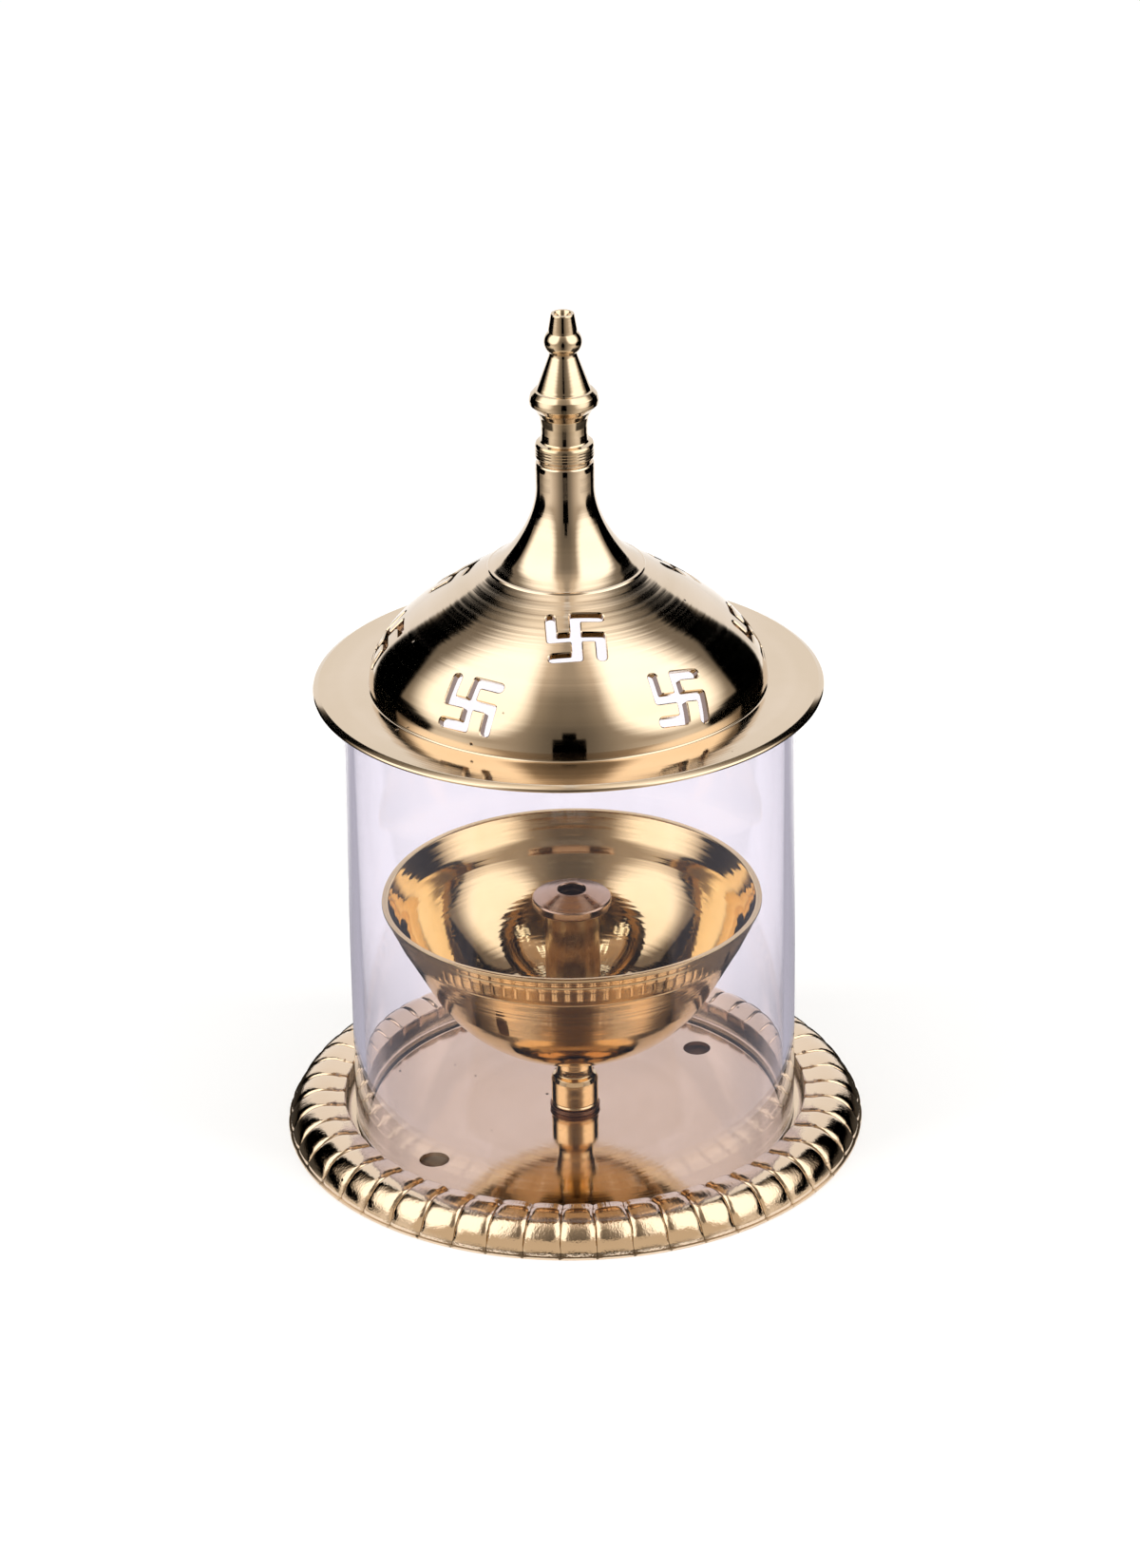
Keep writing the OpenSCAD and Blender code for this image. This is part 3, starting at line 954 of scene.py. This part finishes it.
def brass(name, tone, worn, rough, line_pitch, line_depth, wave_depth, speck=0.0, grain=0.85):
    """Polished brass with fine turning lines, slow waves of hand polishing and small casting pits."""
    material, tree, shader = new_material(name)
    where, rings = ring_coordinates(tree)
    shader.inputs["Metallic"].default_value = 1.0
    turned_grain(tree, shader, where, grain)
    bands_per_line = 0.12
    lines = noise(tree, rings, 1.0 / line_pitch, 1.5, "2D", 0.5)
    bands = noise(tree, rings, bands_per_line / line_pitch, 2.0, "2D")
    clouds = noise(tree, where, CLOUDS_PER_M, 3.0)
    patina = calc(tree, "MULTIPLY_ADD", bands, 0.5, calc(tree, "MULTIPLY", clouds, 0.5))
    colour = blend_colours(tree, spread(tree, patina, 0.35, 0.65, 0.0, 1.0), tone, worn)
    relief = bump(tree, noise(tree, where, WAVES_PER_M, 1.0), wave_depth)
    relief = bump(tree, lines, line_depth, relief)
    if speck > 0.0:
        cells = add_node(tree, "ShaderNodeTexVoronoi", Vector=where, Scale=PITS_PER_M).outputs["Distance"]
        stain = spread(tree, cells, speck, speck * 0.5, 0.0, 1.0)
        colour = blend_colours(tree, stain, colour, PIT_BROWN)
        relief = bump(tree, spread(tree, cells, speck * 0.4, speck, 0.0, 1.0), PIT_DEPTH, relief)
    shine = spread(tree, lines, 0.3, 0.7, rough * 0.7, rough * 1.4)
    tree.links.new(colour, shader.inputs["Base Color"])
    tree.links.new(shine, shader.inputs["Roughness"])
    tree.links.new(relief, shader.inputs["Normal"])
    return material


def finish_and_shade_sheet(material):
    """Grooves the plate's floor, rubs its flutes lengthways, and paints shade into its valleys and into
    the corner at its wall.
    """
    floor_rough = 0.03
    grooves_per_m = 1400.0
    groove_depth = 6e-6
    streak_scale = 130.0
    streak_depth = 4e-5
    floor_edge = (WALL_R - 1.4) * MM
    wall = WALL_R * MM
    tree = material.node_tree
    shader = tree.nodes["Principled BSDF"]
    colour = shader.inputs["Base Color"].links[0].from_socket
    shine = shader.inputs["Roughness"].links[0].from_socket
    relief = shader.inputs["Normal"].links[0].from_socket
    where, rings = ring_coordinates(tree)
    radius = add_node(tree, "ShaderNodeSeparateXYZ", Vector=rings).outputs["X"]

    on_floor = spread(tree, radius, floor_edge, floor_edge + 4e-4, 1.0, 0.0)
    shine = calc(tree, "MAXIMUM", shine, calc(tree, "MULTIPLY", on_floor, floor_rough))
    grooves = calc(tree, "MULTIPLY", noise(tree, rings, grooves_per_m, 1.5, "2D", 0.5), on_floor)
    relief = bump(tree, grooves, groove_depth, relief)
    streaks = noise(tree, vector_calc(tree, "NORMALIZE", where), streak_scale, 2.0)
    rubbed = calc(tree, "MULTIPLY", streaks, calc(tree, "SUBTRACT", 1.0, on_floor))
    relief = bump(tree, rubbed, streak_depth, relief)

    # Painted shade: the valleys are darkened towards the near-black valley colour.
    valley_shade_share = spread(tree, carried(tree, "valley")["Fac"], 0.965, 0.997, 0.0, 0.85)
    colour = blend_colours(tree, valley_shade_share, colour, VALLEY_PAINTED_SHADE)
    # Painted shade: a dark band in the corner where the floor meets the rim wall.
    from_wall = spread(tree, radius, wall - 6e-4, wall - 2e-4, 0.0, 0.8)
    to_wall = spread(tree, radius, wall, wall + 2e-4, 1.0, 0.0)
    colour = blend_colours(tree, calc(tree, "MULTIPLY", from_wall, to_wall), colour, WALL_CORNER_PAINTED_SHADE)
    tree.links.new(colour, shader.inputs["Base Color"])
    tree.links.new(shine, shader.inputs["Roughness"])
    tree.links.new(relief, shader.inputs["Normal"])


def dark_cast_brass():
    """Unpolished casting: brown, grainy, with rubbed ridges."""
    brown = (0.56, 0.39, 0.22)
    rubbed = (0.80, 0.60, 0.37)
    grains_per_m = 900.0
    grain_depth = 1.2e-4
    blotches_per_m = 220.0
    blotch_depth = 2e-4
    material, tree, shader = new_material("brass_as_cast")
    where, _ = ring_coordinates(tree)
    shader.inputs["Metallic"].default_value = 1.0
    grain = noise(tree, where, grains_per_m, 6.0)
    blotch = noise(tree, where, blotches_per_m, 4.0)
    colour = blend_colours(tree, spread(tree, blotch, 0.35, 0.65, 0.0, 1.0), brown, rubbed)
    tree.links.new(colour, shader.inputs["Base Color"])
    tree.links.new(spread(tree, grain, 0.3, 0.7, 0.28, 0.5), shader.inputs["Roughness"])
    relief = bump(tree, grain, grain_depth, bump(tree, blotch, blotch_depth))
    tree.links.new(relief, shader.inputs["Normal"])
    return material


def chimney_glass():
    """Clear glass with a faint lavender cast and slow drawing waves, long in the tube's direction."""
    lavender = (0.918, 0.893, 0.952, 1.0)
    stretch = 0.12
    waves_per_m = 90.0
    wave_depth = 6e-6
    material, tree, shader = new_material("chimney_glass")
    where, _ = ring_coordinates(tree)
    shader.inputs["Base Color"].default_value = lavender
    shader.inputs["Transmission Weight"].default_value = 1.0
    shader.inputs["IOR"].default_value = 1.47
    shader.inputs["Roughness"].default_value = 0.0
    drawn = add_node(tree, "ShaderNodeMapping", Vector=where, Scale=(1.0, 1.0, stretch)).outputs[0]
    waves = noise(tree, drawn, waves_per_m, 1.0)
    tree.links.new(bump(tree, waves, wave_depth), shader.inputs["Normal"])
    return material


def hide_from(obj, *rays):
    """Takes an object out of the sight of some kinds of rays."""
    for ray in rays:
        setattr(obj, "visible_" + ray, False)


def fade(value, start, end):
    """Smooth step from 0 at start to 1 at end."""
    t = max(0.0, min(1.0, (value - start) / (end - start)))
    return t * t * (3.0 - 2.0 * t)


def ellipse(side, rise, middle, size):
    """Distance from the middle of an ellipse, which is 1 on its edge."""
    return math.hypot((side - middle[0]) / size[0], (rise - middle[1]) / size[1])


def studio_light(turn, rise):
    """Colour that reaches the lid from one direction: backdrop, flags, soft boxes and a dim room."""
    lamp_white = np.array((1.0, 0.975, 0.9))
    room_tone = np.array((1.06, 0.92, 0.74))
    side = min(abs(turn), 360.0 - abs(turn))
    drop_edge = 37.0 + 0.6 * max(0.0, rise - 25.0)
    backdrop = fade(side, drop_edge + 1.0, drop_edge - 1.0)
    near_flag = fade(ellipse(side, rise, (54.0, 5.0), (18.0, 28.0)), 1.06, 0.94)
    low_flag = fade(ellipse(side, rise, (78.0, -4.0), (24.0, 12.0)), 1.1, 0.9)
    arm_edge = 57.0 + 0.55 * max(0.0, rise - 45.0)
    arm = fade(side, arm_edge + 1.0, arm_edge - 1.0)
    arm *= fade(rise, 20.0, 24.0) * fade(rise, 68.0, 60.0)
    box = fade(ellipse(side, rise, (111.0, 43.0), (45.0, 45.0)), 1.05, 0.62)
    table = 0.5 * fade(rise, 4.0, -10.0) * math.exp(-(((side - 115.0) / 22.0) ** 2))
    room = 0.15 + 0.34 * fade(side, 174.0, 138.0)
    room += 0.08 * fade(rise, 25.0, 50.0) + 0.2 * fade(rise, 58.0, 74.0)
    room *= 0.4 + 0.6 * fade(side, 62.0, 98.0)
    open_side = lamp_white * (1.9 * box + table) + room_tone * room * (1.0 - box)
    open_side *= 1.0 - 0.92 * fade(rise, -16.0, -26.0) * fade(side, 126.0, 112.0)
    dark = max(near_flag, low_flag, arm)
    return backdrop * np.ones(3) + (1.0 - backdrop) * (1.0 - dark) * open_side


def fill_light(turn, rise):
    """Warm white card."""
    return np.array((0.72, 0.61, 0.46))


def no_light(turn, rise):
    """Black card."""
    return np.zeros(3)


def panel_mesh(name, turns, rises, reach, light):
    """A sheet at some reach from the lid; what would lie under the table is laid on it."""
    steps = 96
    lid_z = 0.1
    table_z = 0.001
    verts = []
    colours = []
    for rise in np.linspace(*rises, steps):
        lean = math.radians(rise)
        span = reach
        if rise < 0.0:
            span = min(reach, (lid_z - table_z) / math.sin(-lean))
        flat = span * math.cos(lean)
        height = lid_z + span * math.sin(lean)
        for turn in np.linspace(*turns, steps):
            round_by = math.radians(turn)
            verts.append((flat * math.sin(round_by), flat * math.cos(round_by), height))
            colours.append((*light(turn, rise), 1.0))
    faces = []
    for k in range(steps - 1):
        for i in range(steps - 1):
            a = k * steps + i
            faces.append((a, a + 1, a + steps + 1, a + steps))
    mesh = bpy.data.meshes.new(name)
    mesh.from_pydata(verts, [], faces)
    layer = mesh.attributes.new("light", "FLOAT_COLOR", "POINT")
    layer.data.foreach_set("color", np.array(colours).ravel())
    return mesh


def panel_material(name, in_glass):
    """Glows with the light that the panel carries, for mirrored rays only."""
    material, tree = bare_material(name)
    path = tree.nodes.new("ShaderNodeLightPath").outputs
    in_wall = calc(tree, "LESS_THAN", path["Transmission Depth"], 3.5)
    off_glass = calc(tree, "MAXIMUM", path["Is Reflection Ray"], in_wall)
    off_glass = calc(tree, "MULTIPLY", path["Is Singular Ray"], off_glass)
    seen = blend_colours(tree, off_glass, carried(tree, "light")["Color"], in_glass or SIDE_IN_GLASS)
    mirrored = calc(tree, "GREATER_THAN", path["Glossy Depth"], 0.5)
    if in_glass is None:
        outside = calc(tree, "LESS_THAN", path["Transmission Depth"], 0.5)
        outside = calc(tree, "MULTIPLY", outside, calc(tree, "SUBTRACT", 1.0, off_glass))
        mirrored = calc(tree, "MULTIPLY", mirrored, outside)
    mix = tree.nodes.new("ShaderNodeMixShader")
    tree.links.new(mirrored, mix.inputs[0])
    tree.links.new(tree.nodes.new("ShaderNodeBsdfTransparent").outputs[0], mix.inputs[1])
    tree.links.new(add_node(tree, "ShaderNodeEmission", Color=seen).outputs[0], mix.inputs[2])
    show(tree, mix.outputs[0])
    return material


def studio_panel(name, turns, rises, reach, light, in_glass=SIDE_IN_GLASS):
    """A piece of the studio round the lamp, seen only in reflections; light(turn, rise) is its colour.

    Turns and rises are in degrees as seen from the lid. The chimney's own reflections see the plain
    grey in_glass, so that the glass stays even. Where that is None, nothing in or on the chimney sees
    the panel.
    """
    mesh = panel_mesh(name, turns, rises, reach, light)
    panel = add_piece(name, mesh, panel_material(name, in_glass))
    hide_from(panel, "camera", "diffuse", "shadow")


def make_studio():
    """Soft boxes and flags beside a white backdrop; in front a dim room, the camera and a card."""
    whole = (-70.0, 88.0)
    far = 0.45
    before_far = 0.44
    by_the_plate = 0.115
    for side, sign in (("left", -1.0), ("right", 1.0)):
        studio_panel(f"soft_box_{side}", (sign * 35.0, sign * 150.0), whole, far, studio_light)
    studio_panel("room", (150.0, 210.0), whole, far, studio_light, FRONT_IN_GLASS)
    studio_panel("camera_body", (171.0, 189.0), (-30.0, 19.0), before_far, no_light, None)
    studio_panel("camera_hood", (176.0, 184.0), (18.0, 29.0), before_far, no_light, None)
    studio_panel("fill_card", (140.0, 220.0), (-58.0, -27.0), by_the_plate, fill_light, FRONT_IN_GLASS)


def make_lamps():
    """Two large soft lamps for what isn't mirror bright."""
    aim = Vector((0.0, 0.0, 0.06))
    for side, sign in (("left", -1.0), ("right", 1.0)):
        data = bpy.data.lights.new(f"soft_lamp_{side}", "AREA")
        data.shape = "RECTANGLE"
        data.size = 0.5
        data.size_y = 0.6
        data.energy = 5.0
        data.color = (1.0, 0.97, 0.92)
        lamp = bpy.data.objects.new(data.name, data)
        lamp.location = (sign * 0.75, -0.25, 0.55)
        lamp.rotation_euler = (aim - lamp.location).to_track_quat("-Z", "Y").to_euler()
        hide_from(lamp, "camera", "glossy", "transmission")
        bpy.context.scene.collection.objects.link(lamp)


def make_floor():
    """Plain white floor that keeps the lamp's soft shadow, with painted shade, brown from light off the
    brass, where the plate covers it.
    """
    half = 3.0
    sunk = 0.00005
    # Painted shade for the paper under the plate: brown, as if lit only by light off the brass, and
    # without glow.
    under_plate_painted_shade = (0.34, 0.22, 0.15)
    white = (0.8, 0.8, 0.8)
    near_glow = 0.26
    far_glow = 0.12
    corners = [(-half, -half, 0.0), (half, -half, 0.0), (half, half, 0.0), (-half, half, 0.0)]
    mesh = bpy.data.meshes.new("studio_floor")
    mesh.from_pydata(corners, [], [(0, 1, 2, 3)])
    material, tree = bare_material("white_paper")
    away = length_of(tree, tree.nodes.new("ShaderNodeTexCoord").outputs["Object"])
    open_floor = spread(tree, away, 0.042, 0.05, 0.0, 1.0)
    tone = blend_colours(tree, open_floor, under_plate_painted_shade, white)
    paper = add_node(tree, "ShaderNodeBsdfDiffuse", Color=tone)
    near = calc(tree, "MULTIPLY", open_floor, near_glow)
    far = spread(tree, away, 0.3, 1.2, 0.0, far_glow)
    lift = add_node(tree, "ShaderNodeEmission", Strength=calc(tree, "ADD", near, far))
    both = tree.nodes.new("ShaderNodeAddShader")
    tree.links.new(paper.outputs[0], both.inputs[0])
    tree.links.new(lift.outputs[0], both.inputs[1])
    show(tree, both.outputs[0])
    floor = add_piece("studio_floor", mesh, material)
    floor.location.z = -sunk


def make_world():
    """White surroundings, at a plain level for what they light."""
    light_level = 0.7
    world = bpy.data.worlds.new("white_studio")
    bpy.context.scene.world = world
    world.use_nodes = True
    tree = world.node_tree
    back = tree.nodes["Background"]
    back.inputs["Color"].default_value = (1.0, 1.0, 1.0, 1.0)
    path = tree.nodes.new("ShaderNodeLightPath").outputs
    seen = calc(tree, "MAXIMUM", path["Is Camera Ray"], path["Is Glossy Ray"])
    seen = calc(tree, "MAXIMUM", seen, path["Is Transmission Ray"])
    strength = calc(tree, "MULTIPLY_ADD", seen, 1.0 - light_level, light_level)
    tree.links.new(strength, back.inputs["Strength"])


def make_camera():
    """The photograph's view: a long lens, looking down on the lamp."""
    eye = Vector((0.0, -0.75226, 0.42665))
    aim = Vector((0.0, 0.0, 0.06655))
    roll = -0.0161
    data = bpy.data.cameras.new("photo_camera")
    data.sensor_width = 36.0
    data.lens = 107.9
    data.clip_end = 20.0
    camera = bpy.data.objects.new("photo_camera", data)
    camera.location = eye
    turn = (aim - eye).to_track_quat("-Z", "Y") @ Quaternion(UPRIGHT, roll)
    camera.rotation_euler = turn.to_euler()
    bpy.context.scene.collection.objects.link(camera)
    bpy.context.scene.camera = camera


def dress(piece, body, node):
    """Ties a piece to its body and hides the solid it stands for."""
    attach(piece, body)
    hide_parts(node)


def make_lamp():
    """All pieces of the oil lamp."""
    sheet = brass("polished_sheet_brass", (0.81, 0.64, 0.48), (0.76, 0.59, 0.43), rough=0.06,
                  line_pitch=9e-4, line_depth=5e-6, wave_depth=4e-6, speck=0.05, grain=1.0)
    finish_and_shade_sheet(sheet)
    cast = brass("turned_cast_brass", (0.77, 0.63, 0.49), (0.71, 0.57, 0.42), rough=0.08,
                 line_pitch=9e-4, line_depth=1.4e-5, wave_depth=3e-6, speck=0.05)
    bowl = brass("turned_bowl_brass", (0.87, 0.70, 0.42), (0.82, 0.63, 0.35), rough=0.05,
                 line_pitch=1.1e-3, line_depth=2.4e-5, wave_depth=3e-6, speck=0.04)
    knob = brass("turned_knob_brass", (0.76, 0.62, 0.47), (0.68, 0.54, 0.38), rough=0.10,
                 line_pitch=6e-4, line_depth=1.0e-5, wave_depth=4e-6)
    copper = brass("copper_tone_brass", (0.66, 0.47, 0.34), (0.58, 0.39, 0.27), rough=0.20,
                   line_pitch=6e-4, line_depth=9e-6, wave_depth=6e-6)
    ring = brass("dark_copper_ring", (0.26, 0.15, 0.09), (0.19, 0.10, 0.06), rough=0.22,
                 line_pitch=6e-4, line_depth=9e-6, wave_depth=6e-6)
    screw = brass("plain_screw_brass", (0.66, 0.51, 0.31), (0.55, 0.41, 0.24), rough=0.25,
                  line_pitch=5e-4, line_depth=8e-6, wave_depth=8e-6)
    dress(fluted_base_plate(sheet), "base", "base_plate")
    dress(copper_ring(ring), "base", "stem_washer")
    dress(turned_bowl(bowl), "base", "oil_bowl")
    dress(cast_wick_post(dark_cast_brass()), "base", "wick_post")
    dress(turned_wick_cap(copper), "wick_cap", "wick_cap")
    dress(glass_tube(chimney_glass()), "chimney", "glass_chimney")
    dress(pierced_lid(cast), "lid", "lid")
    dress(turned_finial(knob), "lid", "finial")
    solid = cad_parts["base_screw"]
    solid.data.materials.clear()
    solid.data.materials.append(screw)


make_lamp()
make_studio()
make_lamps()
make_floor()
make_world()
make_camera()
bpy.context.scene.view_settings.view_transform = "Standard"
